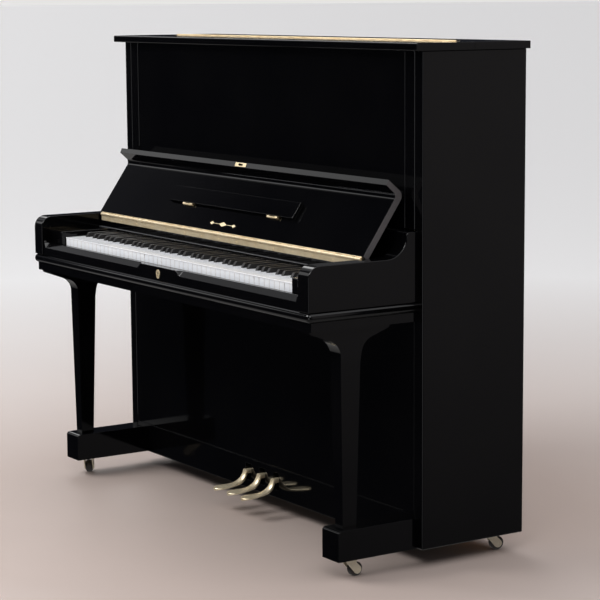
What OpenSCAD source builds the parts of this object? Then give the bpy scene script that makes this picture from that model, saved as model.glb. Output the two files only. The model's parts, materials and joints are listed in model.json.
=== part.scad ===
// Upright piano, polished case on four casters, with fallboard open.
// Millimetres. +X to the player's right, +Y to the back, +Z up.
// Origin on the floor, at the centre of the piano's footprint.

/* [Case] */
// Height from the floor to the top face of the lid
total_h = 1310; // [1290:1:1330]
// Depth from the moulding's nose to the back
depth = 650; // [640:1:660]
// Width over the two side panels
case_w = 1500; // [1490:1:1510]
// Width of the lid
lid_w = 1530; // [1520:1:1540]
// Thickness of the lid
lid_t = 19; // [16:1:22]
// Thickness of a side panel
side_t = 34; // [30:1:38]
// Height of the case's underside above the floor
caster_h = 50; // [50:1:50]

/* [Keyboard] */
// Pitch of the white keys
key_pitch = 23.5; // [23.4:0.05:23.6]
// Height of the white keys' top faces
key_top = 732; // [732:1:732]
// Travel of a key at its front edge
key_dip = 10; // [9:0.5:10.5]

/* [Fallboard] */
// Angle of the open fallboard above the horizontal
fall_open = 55; // [54:1:56]
// Thickness of the fallboard
fall_t = 17; // [15:1:18]

/* [Pedals] */
// Spacing of the pedals
pedal_pitch = 72; // [68:1:76]

/* [Casters] */
// Diameter of a caster wheel
wheel_d = 36; // [34:1:38]
// Tread width of a caster wheel
wheel_w = 20; // [16:1:20]

/* [Hidden] */
$fn = 48;

EBONY = [0.03, 0.03, 0.035];
BRASS = [0.83, 0.66, 0.36];
WOOD = [0.72, 0.55, 0.36];
SPRUCE = [0.83, 0.66, 0.42];
GOLD = [0.72, 0.58, 0.25];
RUBBER = [0.1, 0.1, 0.1];
IVORY = [0.95, 0.95, 0.96];
BLACK = [0.05, 0.05, 0.05];
STEEL = [0.7, 0.7, 0.72];
FELT = [0.85, 0.83, 0.78];
TREAD = [0.75, 0.75, 0.72];

// Outer faces of the case
front_y = -depth / 2;
back_y = depth / 2;
case_x = case_w / 2;
inner_x = case_x - side_t;
lid_x = lid_w / 2;
lid_z = total_h - lid_t;
panel_y = 3;            // front plane of the side panels and of the upright panels
run = 0.05;             // radial running clearance of a pin in its bore
gap = 0.3;              // clearance between pieces that pass each other

// Arms and keyboard tray
arm_x0 = 685.5;
arm_x1 = 733;
arm_front = front_y + 3;
arm_z = 788;
arm_rear_z = 851;
bed_z0 = 628;
bed_z = 676;
slip_x = arm_x0 - gap;
slip_y0 = front_y + 7;
slip_y1 = slip_y0 + 20;
slip_z = 712;
slip_bevel_y = 13;
slip_bevel_z = 14;
slip_centre_x = 92;     // half-length of the raised middle of the key slip
slip_end_x = 676;
block_x0 = 614;
block_y0 = -292;
block_z = 748;

// Keys
key_n = 52;
key_x0 = -key_n * key_pitch / 2;
key_front = -280;
key_rear = 95;
key_gap = 0.9;
nosing = 1.2;           // overhang of a white key's resin top
resin_t = 2.6;
key_bottom = key_top - 24;
head_len = 50;
slot_w = 12.6;          // room between two white key tails for a black key
tail_cde = (3 * key_pitch - 2 * slot_w) / 3;
tail_fgab = (4 * key_pitch - 3 * slot_w) / 4;
sharp_w = 9.8;
sharp_h = 12;
sharp_rear = -129;
stick_w = 11;
balance_y = -50;
balance_r = 4;
balance_z = key_bottom - balance_r - gap;
first_moving = 23;      // number of the white key that is middle C
last_moving = 25;       // number of the white key that is the E above it
key_angle = asin(key_dip / (balance_y - key_front));

// Fallboard: its own frame has u along the board from the hinge and v out of its inner face
fall_y = -128;
fall_z = 786;
fall_x = 683;
fall_inner = 4;         // inner face, from the hinge axis
fall_start = 6;
fall_len = 197.4;
fall_lip_u = 200.6;
fall_lip_v = 47.7;
lip_t = 14;
lip_drop = 3;           // of the lip's end face, from its outer to its inner edge
lip_tilt = atan(lip_drop / lip_t);
fall_corner_r = 20;
cove_r = 14;

// Music shelf, folded up against the fallboard's inner face
shelf_x = 322;
shelf_u0 = 73.5;
shelf_u1 = 121;
shelf_t = 11;
shelf_v0 = fall_inner + 1;
shelf_axis_u = 70.5;
shelf_axis_v = 9.5;
shelf_hinge_x = 220;
shelf_hinge_w = 50;
shelf_knuckle_r = 2.8;
shelf_pin_r = 1.2;

// Lid: the front half folds back on a long hinge
lid_front_y = -27;
lid_seam_y = 150;
lid_axis_z = total_h + 1.6;
hinge_pitch = 28;
lid_hinge_x = 690;
lid_knuckle_r = 1.6;
lid_pin_r = 0.9;
leaf_start = 2;         // from the seam to a leaf of the lid's hinge
leaf_w = 12;
leaf_t = 1;
seam = 1;               // gap between the two halves of the lid
fall_knuckle_r = 4.2;
fall_leaf_t = 1.2;
fall_leaf_z = 767.5;
fall_hinge_x = 675;
fall_pin_r = 1.5;

// Panels
upper_z0 = arm_rear_z + 1;
upper_x = 673;
panel_t = 19;
plinth_z = 135;
lower_z1 = bed_z0 - 1;

// Legs and toes
toe_x0 = 656;
toe_x1 = 728;
toe_front = -235;
toe_z = 128;
leg_top_z = 575;

// Casters: x, y of the swivel and the swivel's angle at rest
caster_x = 692;
caster_front_y = -182;
caster_rear_y = 262;
caster_trail = 19;
caster_stem_r = 5;
caster_stem_h = 30;
fork_gap = wheel_w + 2;
fork_plate = 3;
axle_r = 3;

// Action
note_n = 88;
note_pitch = 13.9;
hammer_y = 95;
hammer_z = 905;
strike_z = 1035;
damper_y = 135;
damper_z = 905;
string_y = 190;
plate_y = 198;
board_y0 = 218;
board_y1 = 227;
board_z0 = caster_h + 102;
board_z1 = 1078;
bass_y = 180;
bass_n = 26;
bar_z = 1100;           // height of the bar that the strings bend over on the way to their pins
unison_pitch = 4.6;
rod_y = 118;
pedal_axis_y = 45;
pedal_axis_z = 94;
pedal_pin_r = 4;

// ---- helpers -------------------------------------------------------------

// A block between two corners
module block(x0, x1, y0, y1, z0, z1) {
    translate([x0, y0, z0]) cube([x1 - x0, y1 - y0, z1 - z0]);
}

// A Y-Z outline drawn out along X
module along_x(x0, x1) {
    translate([x0, 0, 0]) rotate([90, 0, 90]) linear_extrude(x1 - x0) children();
}

// An X-Z outline drawn out along Y
module along_y(y0, y1) {
    translate([0, y1, 0]) rotate([90, 0, 0]) linear_extrude(y1 - y0) children();
}

// A rod along X with its centre line at y, z
module rod_x(x0, x1, y, z, r) {
    translate([x0, y, z]) rotate([0, 90, 0]) cylinder(r = r, h = x1 - x0);
}

// A straight rod from point a to point b
module rod(a, b, r) {
    d = b - a;
    l = norm(d);
    translate(a) rotate([0, acos(d.z / l), atan2(d.y, d.x)]) cylinder(r = r, h = l);
}

// Points of an arc about c, from angle a to angle b
function arc(c, r, a, b, n = 8) = [for (i = [0:n]) let (t = a + (b - a) * i / n) c + r * [cos(t), sin(t)]];

module both_sides() {
    children();
    mirror([1, 0, 0]) children();
}

// Moves a piece drawn in the fallboard's own frame (x, u, v) to its open place
module in_fallboard() {
    translate([0, fall_y, fall_z]) rotate([fall_open, 0, 0]) children();
}

// Knuckles of a long hinge about the X axis: every second one, starting with number first
module knuckles(half, r, first, between = gap) {
    n = round(2 * half / hinge_pitch);
    p = 2 * half / n;
    for (i = [first:2:n - 1]) translate([i * p - half, 0, 0]) rod_x(between / 2, p - between / 2, 0, 0, r);
}

// ---- case ----------------------------------------------------------------

module sides() {
    color(EBONY) both_sides() block(inner_x, case_x, panel_y, back_y, caster_h, lid_z);
}

module arms() {
    r = 32;
    cove = 59;
    top_r = 8;
    cove_y = -90;
    lip_y = cove_y + cove + top_r - 1;
    color(EBONY) both_sides() along_x(arm_x0, arm_x1) polygon(concat(
        [[panel_y, bed_z], [arm_front, bed_z]],
        arc([arm_front + r, arm_z - r], r, 180, 90),
        arc([cove_y, arm_z + cove], cove, -90, -8),
        arc([lip_y, arm_rear_z - top_r], top_r, 180, 90, 5),
        [[panel_y, arm_rear_z]]
    ));
}

module key_bed() {
    nose_r = 12.5;
    nose_x = 738;
    step_x = 730;
    step_y = front_y + 12;
    rear_y = 132;
    rod_hole_r = 10;
    x = nose_x - nose_r;
    y = front_y + nose_r;
    y1 = panel_y - gap;
    color(EBONY) difference() {
        union() {
            block(-step_x, step_x, step_y, y1, bed_z0, bed_z - 2 * nose_r);
            block(-inner_x + gap, inner_x - gap, y1, rear_y, bed_z0, bed_z);
            block(-x, x, y, y1, bed_z - 2 * nose_r, bed_z);
            rod_x(-x, x, y, bed_z - nose_r, nose_r);
            both_sides() translate([x, y, bed_z - nose_r]) {
                sphere(r = nose_r);
                rotate([-90, 0, 0]) cylinder(r = nose_r, h = y1 - y);
            }
        }
        // holes for the trap rods
        for (i = [-1:1]) translate([i * pedal_pitch, rod_y, bed_z0 - 1])
            cylinder(r = rod_hole_r, h = bed_z - bed_z0 + 2);
    }
}

module key_slip() {
    swell = 22;             // length of the bevel's run-out
    color(EBONY) difference() {
        block(-slip_x, slip_x, slip_y0, slip_y1, bed_z, slip_z);
        // finger bevel on both sides of the raised middle
        both_sides() along_x(slip_centre_x + swell / 2, slip_end_x) polygon([
            [slip_y0 - 1, slip_z + 1], [slip_y0 - 1, slip_z - slip_bevel_z],
            [slip_y0, slip_z - slip_bevel_z], [slip_y0 + slip_bevel_y, slip_z],
            [slip_y0 + slip_bevel_y, slip_z + 1]
        ]);
    }
}

module key_blocks() {
    color(EBONY) both_sides() block(block_x0, arm_x0 - gap, block_y0, fall_y - 1.2, bed_z, block_z);
}

module name_board() {
    front = fall_y + 1;
    shelf_z = fall_z - 9;
    shelf_under_z = fall_z - 21;
    riser_y = -22;
    rear = panel_y - gap;
    foot = 15;
    color(EBONY) along_x(-arm_x0 + gap, arm_x0 - gap) polygon([
        [front, block_z], [front, shelf_z], [riser_y, shelf_z], [riser_y, arm_rear_z],
        [rear, arm_rear_z], [rear, shelf_under_z], [front + foot, shelf_under_z],
        [front + foot, block_z]
    ]);
}

module legs() {
    foot = [33, 40];
    top = [47, 59];
    foot_at = [677, -210, toe_z];
    top_at = [667, -217, leg_top_z];
    skin = 0.01;
    console_x = 668;
    console_w = 46;
    front_curve = [-262, 556];
    front_r = 46;
    rear_curve = [-108, 556];
    rear_r = 48;
    waist_z = 545;
    color(EBONY) both_sides() {
        // tapered leg
        hull() {
            translate(foot_at) cube([foot.x, foot.y, skin]);
            translate(top_at) cube([top.x, top.y, skin]);
        }
        // console under the keyboard tray, with hollow curves down to the leg
        along_x(console_x, console_x + console_w) polygon(concat(
            [[front_curve.x - front_r, bed_z0], [front_curve.x - front_r, bed_z0 - 6]],
            arc(front_curve, front_r, 75, 8),
            [[front_curve.x + front_r, waist_z], [rear_curve.x - rear_r - 2, waist_z]],
            arc(rear_curve, rear_r, 172, 100),
            [[-72, bed_z0 - 9], [-72, bed_z0]]
        ));
    }
}

module toes() {
    r = 9;
    color(EBONY) difference() {
        both_sides() along_x(toe_x0, toe_x1) polygon(concat(
            [[panel_y, caster_h], [toe_front, caster_h]],
            arc([toe_front + r, toe_z - r], r, 180, 90, 5),
            [[panel_y, toe_z]]
        ));
        caster_sockets(caster_front_y);
    }
}

// Blind holes for the stems of the two casters at a depth of y
module caster_sockets(y) {
    for (s = [-1, 1]) translate([s * caster_x, y, caster_h - 1])
        cylinder(r = caster_stem_r + run, h = caster_stem_h + 1);
}

module bottom_board() {
    slot_x = 15;            // half-width of a pedal's slot
    slot_z0 = 72;
    slot_z1 = 120;
    floor_t = 20;
    floor_y = 220;
    color(EBONY) difference() {
        union() {
            block(-inner_x, inner_x, panel_y, panel_y + panel_t, caster_h, plinth_z);
            block(-inner_x, inner_x, panel_y + panel_t, floor_y, caster_h, caster_h + floor_t);
        }
        for (i = [-1:1]) block(i * pedal_pitch - slot_x, i * pedal_pitch + slot_x,
            panel_y - 1, panel_y + panel_t + 1, slot_z0, slot_z1);
    }
}

module lower_panel() {
    color(EBONY) block(-inner_x + 1, inner_x - 1, panel_y, panel_y + panel_t, plinth_z + 1.5, lower_z1);
}

module upper_panel() {
    color(EBONY) block(-upper_x, upper_x, panel_y + 2, panel_y + panel_t, upper_z0, lid_z - 1);
}

module pilasters() {
    depth_y = 40;
    color(EBONY) both_sides() block(upper_x + 1, inner_x, panel_y, panel_y + depth_y, upper_z0, lid_z);
}

// Buttons that the fallboard leans on when open, and that its lip meets when closed
module rest_buffers() {
    rest = [640, panel_y + 2, 935];
    rest_h = 16.6;
    lip_button = [681, slip_y0 + 5.5, slip_z];
    lip_button_h = 5;
    color(RUBBER) both_sides() {
        translate(rest) rotate([90, 0, 0]) cylinder(r = 8, h = rest_h);
        translate(lip_button) cylinder(r = 3.8, h = lip_button_h);
    }
}

// ---- lid -----------------------------------------------------------------

// Rebate for a hinge leaf in the lid's top face
module leaf_rebate() {
    w = leaf_start + leaf_w;
    block(-lid_hinge_x, lid_hinge_x, lid_seam_y - w, lid_seam_y + w, total_h - leaf_t, total_h + 1);
}

module lid_rear() {
    color(EBONY) difference() {
        block(-lid_x, lid_x, lid_seam_y + seam / 2, back_y, lid_z, total_h);
        leaf_rebate();
    }
}

module lid_front() {
    r = 3;
    y1 = lid_seam_y - seam / 2;
    color(EBONY) difference() {
        along_x(-lid_x, lid_x) polygon(concat(
            [[y1, total_h], [y1, lid_z]],
            arc([lid_front_y + r, lid_z + r], r, 270, 180, 4),
            arc([lid_front_y + r, total_h - r], r, 180, 90, 4)
        ));
        leaf_rebate();
    }
}

// Leaf let in flush, dir steps behind (1) or in front (-1) of the seam
module lid_hinge_leaf(dir) {
    y0 = dir * leaf_start;
    y1 = dir * (leaf_start + leaf_w);
    translate([0, lid_seam_y, 0])
        block(-lid_hinge_x, lid_hinge_x, min(y0, y1), max(y0, y1), total_h - leaf_t, total_h);
}

// Tabs from every second knuckle down to its own leaf
module lid_hinge_tabs(dir, first) {
    reach = dir * (leaf_start + 0.5);
    intersection() {
        knuckles(lid_hinge_x, 3 * lid_knuckle_r, first);
        block(-lid_x, lid_x, min(0, reach), max(0, reach), total_h - leaf_t - lid_axis_z, -lid_pin_r - 0.2);
    }
}

module lid_hinge_fixed_leaf() {
    color(BRASS) {
        lid_hinge_leaf(1);
        translate([0, lid_seam_y, lid_axis_z]) {
            knuckles(lid_hinge_x, lid_knuckle_r, 0);
            rod_x(-lid_hinge_x, lid_hinge_x, 0, 0, lid_pin_r);
            lid_hinge_tabs(1, 0);
        }
    }
}

module lid_hinge_moving_leaf() {
    color(BRASS) difference() {
        union() {
            lid_hinge_leaf(-1);
            translate([0, lid_seam_y, lid_axis_z]) {
                knuckles(lid_hinge_x, lid_knuckle_r, 1);
                lid_hinge_tabs(-1, 1);
            }
        }
        translate([0, lid_seam_y, lid_axis_z]) rod_x(-lid_x, lid_x, 0, 0, lid_pin_r + run);
    }
}

// ---- fallboard -----------------------------------------------------------

module fallboard() {
    u0 = fall_start;
    v0 = fall_inner;
    back_v = fall_inner - fall_t;
    corner = [fall_len - fall_corner_r, back_v + fall_corner_r];
    inner_u = fall_len - lip_t;
    color(EBONY) in_fallboard() difference() {
        along_x(-fall_x, fall_x) polygon(concat(
            [[u0, back_v], [u0, v0]],
            arc([inner_u - cove_r, v0 + cove_r], cove_r, -90, 0),
            [[fall_lip_u - lip_t, fall_lip_v - lip_drop], [fall_lip_u, fall_lip_v]],
            arc(corner, fall_corner_r, 4, -90)
        ));
        // mortise for the lock's bolt, behind the strike plate
        on_lip() block(-14, 14, -3.6, 3.6, -12, 4);
    }
}

// Frame on the middle of the lip's end face
module on_lip() {
    translate([0, fall_lip_u - lip_t / 2, fall_lip_v - lip_drop / 2]) rotate([lip_tilt, 0, 0]) children();
}

// Knuckles of the fallboard's hinge, set a little apart
module fall_knuckles(r, first) {
    knuckles(fall_hinge_x, r, first, 1.4);
}

module fallboard_hinge_fixed_leaf() {
    leaf_top = fall_z - fall_knuckle_r - gap;
    leaf_y = fall_y - 0.6;
    color(BRASS) {
        block(-fall_hinge_x, fall_hinge_x, leaf_y, fall_y + 1, fall_leaf_z, leaf_top);
        translate([0, fall_y, fall_z]) {
            fall_knuckles(fall_knuckle_r, 0);
            rod_x(-fall_hinge_x, fall_hinge_x, 0, 0, fall_pin_r);
        }
        // tabs from the leaf up into its own knuckles
        intersection() {
            translate([0, fall_y, fall_z]) fall_knuckles(2 * fall_knuckle_r, 0);
            block(-fall_x, fall_x, leaf_y, fall_y + 1, leaf_top - 1, fall_z - 2);
        }
    }
}

module fallboard_hinge_moving_leaf() {
    color(BRASS) in_fallboard() difference() {
        union() {
            block(-fall_hinge_x, fall_hinge_x, fall_start - fall_leaf_t, fall_start,
                fall_inner - fall_t + 1, fall_inner - 1);
            fall_knuckles(fall_knuckle_r, 1);
            intersection() {
                fall_knuckles(2 * fall_knuckle_r, 1);
                block(-fall_x, fall_x, 1.8, fall_start, -1.2, 1.2);
            }
        }
        rod_x(-fall_x, fall_x, 0, 0, fall_pin_r + run);
    }
}

module strike_plate() {
    x = 28;
    w = 5.5;
    slot_x = 11;
    slot_w = 3;
    plate_t = 1.1;
    color(BRASS) in_fallboard() on_lip() difference() {
        block(-x, x, -w, w, 0.02, plate_t);
        block(-slot_x, slot_x, -slot_w, slot_w, -1, plate_t + 1);
    }
}

// Pear-shaped plate with a keyhole
module keyhole_plate() {
    plate_t = 1.4;
    plate_z = 692;
    color(BRASS) translate([0, slip_y0, plate_z]) difference() {
        along_y(-plate_t, 0) union() {
            translate([0, 2.5]) circle(r = 9.5);
            translate([0, -4.5]) circle(r = 7.5);
        }
        along_y(-plate_t - 1, 1) union() {
            translate([0, 3]) circle(r = 3);
            translate([-1.3, -6.5]) square([2.6, 9]);
        }
    }
}

// ---- music shelf ---------------------------------------------------------

module shelf_hinge_places() {
    for (s = [-1, 1]) translate([s * shelf_hinge_x, 0, 0]) children();
}

module music_shelf() {
    w = shelf_hinge_w / 2;
    x0 = w / 2 + 0.2;
    x1 = w - 0.2;
    color(EBONY) in_fallboard() difference() {
        union() {
            block(-shelf_x, shelf_x, shelf_u0, shelf_u1, shelf_v0, shelf_v0 + shelf_t);
            shelf_hinge_places() both_sides() {
                rod_x(x0, x1, shelf_axis_u, shelf_axis_v, shelf_knuckle_r);
                block(x0, x1, shelf_axis_u, shelf_u0 + 1,
                    shelf_axis_v - shelf_pin_r, shelf_axis_v + shelf_knuckle_r);
            }
        }
        shelf_hinge_places() rod_x(-w - 1, w + 1, shelf_axis_u, shelf_axis_v, shelf_pin_r + run);
    }
}

// Each hinge's fixed leaf lies behind the folded shelf, with a neck to the middle knuckle
module music_shelf_hinges() {
    w = shelf_hinge_w / 2;
    neck = w / 2 - 0.4;
    leaf = [14, 0.7];       // reach along u, and thickness
    u0 = shelf_axis_u - shelf_pin_r;
    color(BRASS) in_fallboard() shelf_hinge_places() {
        block(-w, w, u0, shelf_axis_u + leaf.x, fall_inner, fall_inner + leaf.y);
        block(-neck, neck, u0, shelf_axis_u + shelf_pin_r, fall_inner + leaf.y / 2, shelf_axis_v);
        rod_x(-neck, neck, shelf_axis_u, shelf_axis_v, shelf_knuckle_r);
        rod_x(-w, w, shelf_axis_u, shelf_axis_v, shelf_pin_r);
    }
}

// ---- back: frame, soundboard, plate and strings --------------------------

module back_frame() {
    post_n = 5;
    post_w = 90;
    post_y = 250;
    beam_y = 236;
    beam_low_z = caster_h + 100;
    beam_high_z = 1190;
    x1 = inner_x - 0.5;
    pitch = (2 * x1 - post_w) / (post_n - 1);
    color(WOOD) difference() {
        union() {
            for (i = [0:post_n - 1]) translate([i * pitch - x1, 0, 0])
                block(0, post_w, post_y, back_y, beam_low_z, beam_high_z);
            block(-x1, x1, beam_y, back_y, caster_h, beam_low_z);
            block(-x1, x1, beam_y, back_y, beam_high_z, lid_z - 0.5);
        }
        caster_sockets(caster_rear_y);
    }
}

// A straight bar in a plane, w wide, between points a and b
module bar_outline(a, b, w) {
    d = b - a;
    translate(a) rotate(atan2(d.y, d.x)) translate([-w / 4, -w / 2]) square([norm(d) + w / 2, w]);
}

// The long treble bridge and the bass bridge, in the X-Z plane
module treble_bridge_outline(w) {
    bar_outline([-560, 235], [40, 330], w);
    bar_outline([40, 330], [600, 880], w);
}

module bass_bridge_outline(w) {
    bar_outline([-330, 185], [230, 215], w);
}

module soundboard() {
    x1 = inner_x - 2;
    rib_n = 11;
    rib_pitch = 155;
    rib_w = 18;
    rib_t = 18;
    rib_tilt = -40;
    rib_middle = [15, 600];
    margin = 25;
    color(SPRUCE) {
        block(-x1, x1, board_y0, board_y1, board_z0, board_z1);
        // ribs across the grain, on the back face
        along_y(board_y1 - 1, board_y1 + rib_t) intersection() {
            translate([-x1 + margin, board_z0 + 3]) square([2 * (x1 - margin), board_z1 - board_z0 - 11]);
            for (i = [0:rib_n - 1]) translate(rib_middle + [(i - (rib_n - 1) / 2) * rib_pitch, 0])
                rotate(rib_tilt) square([rib_w, 2 * board_z1], center = true);
        }
        // bridges, on the front face
        along_y(string_y, board_y0 + 1) treble_bridge_outline(36);
        along_y(bass_y + 5, board_y0 + 1) bass_bridge_outline(32);
    }
}

module iron_plate() {
    x1 = inner_x - 4;
    z0 = 155;
    z1 = 1085;
    color(GOLD) along_y(plate_y, plate_y + 12) difference() {
        translate([-x1, z0]) square([2 * x1, z1 - z0]);
        // openings between the ribs
        polygon([[-660, 270], [-330, 290], [-560, 980], [-660, 980]]);
        polygon([[-290, 300], [20, 380], [-90, 980], [-520, 980]]);
        polygon([[80, 430], [330, 680], [250, 980], [-50, 980]]);
        polygon([[370, 730], [600, 940], [620, 980], [290, 980]]);
        polygon([[300, 240], [660, 260], [660, 850], [400, 600]]);
        // clearance round the bridges
        treble_bridge_outline(46);
        bass_bridge_outline(42);
    }
}

module pin_block() {
    color(WOOD) block(-inner_x + 2, inner_x - 2, plate_y - 2, 236, 1087, 1280);
}

// For note k, counted from the left: the strings (one in the low bass, two in the upper bass,
// three above), their places at the pins and at the bridge, their radius, and pin j's height
function per_note(k) = k < 8 ? 1 : k < bass_n ? 2 : 3;
function top_x(k) = k < bass_n ? -610 + k * 13.4 : -255 + (k - bass_n) * 14.1;
function low_x(k) = k < bass_n ? -300 + k * 19 : -540 + (k - bass_n) * 18.4;
function low_z(k) = k < bass_n ? 195 - k : 240 + 660 * pow((k - bass_n) / 61, 1.5);
function string_r(k) = k < bass_n ? 1.5 - k * 0.025 : 0.5;
function pin_z(k, j) = 1130 + (k % 2) * 55 + j * 17;

module tuning_pins() {
    pin = [3.4, 60];        // radius and length
    front = 170;
    color(STEEL) for (k = [0:note_n - 1]) for (j = [0:per_note(k) - 1]) {
        translate([top_x(k) + (j - 1) * unison_pitch, front, pin_z(k, j)]) rotate([-90, 0, 0])
            cylinder(r = pin.x, h = pin.y);
    }
}

// One string seen from the front, as a narrow strip between its pin and the lower end of the plate
module string_outline(k, j) {
    dx = (j - 1) * unison_pitch;
    low = [low_x(k) + dx, low_z(k)];
    bar = [top_x(k) + dx, bar_z];
    top = [top_x(k) + dx, pin_z(k, j) - 6];
    side = [string_r(k), 0];
    polygon([low - side, low + side, bar + side, top + side, top - side, bar - side]);
}

module strings() {
    color(STEEL) {
        along_y(bass_y - 1.5, bass_y + 1.5)
            for (k = [0:bass_n - 1]) for (j = [0:per_note(k) - 1]) string_outline(k, j);
        along_y(string_y - 4, string_y - 3)
            for (k = [bass_n:note_n - 1]) for (j = [0:2]) string_outline(k, j);
    }
}

// ---- keys ----------------------------------------------------------------

function pitch_class(i) = (i + 5) % 7;
function key_x(i) = key_x0 + i * key_pitch;
// Offset of a white key's tail from the key's own left edge, and the tail's width
function tail_x(i) = let (c = pitch_class(i))
    i == 0 || i == key_n - 1 ? 0 :
    c < 3 ? c * (tail_cde + slot_w - key_pitch) :
    (c - 3) * (tail_fgab + slot_w - key_pitch);
function tail_w(i) = let (c = pitch_class(i))
    i == key_n - 1 ? key_pitch :
    i == 0 ? 2 * (tail_fgab + slot_w - key_pitch) + tail_fgab :
    c < 3 ? tail_cde : tail_fgab;
function has_sharp(i) = let (c = pitch_class(i)) i < key_n - 1 && c != 2 && c != 6;
function sharp_x(i) = key_x(i) + tail_x(i) + tail_w(i) + slot_w / 2;
function moving(i) = i >= first_moving && i <= last_moving;

module white_key(i) {
    x = key_x(i);
    g = key_gap / 2;
    w = tail_w(i) == key_pitch ? key_pitch - g : tail_w(i);
    t = x + tail_x(i) + (tail_x(i) == 0 ? g : 0);
    block(x + g, x + key_pitch - g, key_front, key_front + head_len, key_bottom, key_top);
    block(x + g, x + key_pitch - g, key_front - nosing, key_front, key_top - resin_t, key_top);
    block(t, x + tail_x(i) + w, key_front + head_len - 0.1, key_rear, key_bottom, key_top);
}

module black_key(i) {
    x = sharp_x(i);
    y0 = key_front + head_len + 1.5;
    block(x - stick_w / 2, x + stick_w / 2, y0, key_rear, key_bottom, key_top - 2.5);
    along_x(x - sharp_w / 2, x + sharp_w / 2) polygon([
        [y0 + 0.5, key_top - 3], [y0 + 1, key_top + 1],
        [y0 + 8, key_top + sharp_h - 0.6], [y0 + 13, key_top + sharp_h],
        [sharp_rear, key_top + sharp_h], [sharp_rear, key_top - 3]
    ]);
}

module white_keys() {
    color(IVORY) for (i = [0:key_n - 1]) if (!moving(i)) white_key(i);
}

module black_keys() {
    color(BLACK) for (i = [0:key_n - 1]) if (has_sharp(i) && !(moving(i) && i < last_moving)) black_key(i);
}

module one_white(i) {
    color(IVORY) white_key(i);
}

module one_black(i) {
    color(BLACK) black_key(i);
}

// Key frame: front rail, balance rail with its rounded bead, and back rail
module key_frame() {
    x1 = -key_x0 - 2;
    color(WOOD) {
        block(-x1, x1, -264, -224, bed_z, key_bottom - key_dip - 4);
        block(-x1, x1, balance_y - 22, balance_y + 22, bed_z, balance_z - 5);
        block(-x1, x1, balance_y - 2, balance_y + 2, balance_z - 5.5, balance_z);
        rod_x(-x1, x1, balance_y, balance_z, balance_r);
        block(-x1, x1, 60, key_rear, bed_z, key_bottom - gap);
    }
}

// ---- action --------------------------------------------------------------

function note_x(k) = (k - (note_n - 1) / 2) * note_pitch;

module action_frame() {
    rail_x = 628;
    bracket_x = [-624, -16, 620];
    bracket_top = [1066, 930, 1066];
    color(STEEL) {
        block(-rail_x, rail_x, 108, 124, 893, 919);
        for (i = [0:2]) block(bracket_x[i] - 4, bracket_x[i] + 4, 122, 128, bed_z, bracket_top[i]);
    }
}

module wippens() {
    lever_z = 752;
    jack_z = 766;
    color(WOOD) for (k = [0:note_n - 1]) translate([note_x(k), 0, 0]) {
        block(-4, 4, 64, 106, lever_z, jack_z);
        block(-3, 3, 86, 94, jack_z, jack_z + 118);
    }
}

module hammers() {
    head = [[-6, -11], [8, -11], [22, -5], [25, 0], [22, 5], [8, 11], [-6, 11]];
    pivot_r = 1.6;
    color(FELT) for (k = [0:note_n - 1]) translate([note_x(k), 0, 0]) difference() {
        union() {
            block(-4, 4, hammer_y - 8, hammer_y + 8, hammer_z - 9, hammer_z + 20);
            rod([0, hammer_y + 1, hammer_z + 18], [0, hammer_y + 8, strike_z], 2.8);
            along_x(-4.6, 4.6) translate([hammer_y + 8, strike_z]) polygon(head);
        }
        rod_x(-5, 5, hammer_y, hammer_z, pivot_r);
    }
}

module hammer_rest_rail() {
    x1 = 617;
    arm_t = 6;
    color(WOOD) {
        block(-x1, x1, 74, 90, 975, 997);
        both_sides() {
            block(x1 - arm_t, x1, 78, 84, hammer_z - 2, 977);
            block(x1 - arm_t, x1, 78, hammer_y, hammer_z - 4, hammer_z + 4);
            rod_x(x1 - arm_t, x1 + arm_t / 2, hammer_y, hammer_z, 5);
        }
    }
}

module dampers() {
    n = 68;                 // the top notes have none
    pivot_r = 1.5;
    color(FELT) for (k = [0:n - 1]) translate([note_x(k), 0, 0]) difference() {
        union() {
            block(-3.5, 3.5, damper_y - 4, damper_y + 6, damper_z - 12, damper_z + 16);
            rod([0, damper_y, damper_z + 14], [0, 162, 990], 1.1);
            block(-4.5, 4.5, 160, bass_y - 4, 972, 1008);
        }
        rod_x(-5, 5, damper_y, damper_z, pivot_r);
    }
}

module muffler_rail() {
    x1 = 616;
    color(FELT) {
        block(-x1, x1, 146, 158, 1072, 1086);
        block(-x1, x1, 152, 155, 1052, 1073);
    }
}

// ---- pedals --------------------------------------------------------------

// One cubic curve through four control points
function curve(a, b, c, d, n = 8) =
    [for (i = [0:n]) let (t = i / n, s = 1 - t)
        s * s * s * a + 3 * s * s * t * b + 3 * s * t * t * c + t * t * t * d];

module pedal(x) {
    top = curve([-112, 64], [-70, 74], [-24, 52], [-10, 106], 12);
    under = curve([-4, 91], [-14, 52], [-66, 66], [-110, 56], 12);
    toe_r = 22;
    toe_y = -88;
    waist = [14, -32];
    neck = 9;
    reach = 130;
    color(BRASS) translate([x, 0, 0]) difference() {
        union() {
            intersection() {
                along_x(-toe_r, toe_r) polygon(concat(top, under));
                translate([0, 0, 40]) linear_extrude(80) union() {
                    translate([0, toe_y]) circle(r = toe_r);
                    both_sides() polygon([
                        [0, toe_y], [toe_r - 1, toe_y + 6], waist, [neck, -10], [neck, 0], [0, 0]
                    ]);
                }
            }
            // tail inside the case, with the hub
            along_x(-neck, neck)
                polygon([[-8, 91], [-10, 106], [60, 102], [reach, 101], [reach, 93], [60, 91]]);
            rod_x(-neck, neck, pedal_axis_y, pedal_axis_z, 9);
        }
        rod_x(-toe_r, toe_r, pedal_axis_y, pedal_axis_z, pedal_pin_r + run);
    }
}

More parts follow.
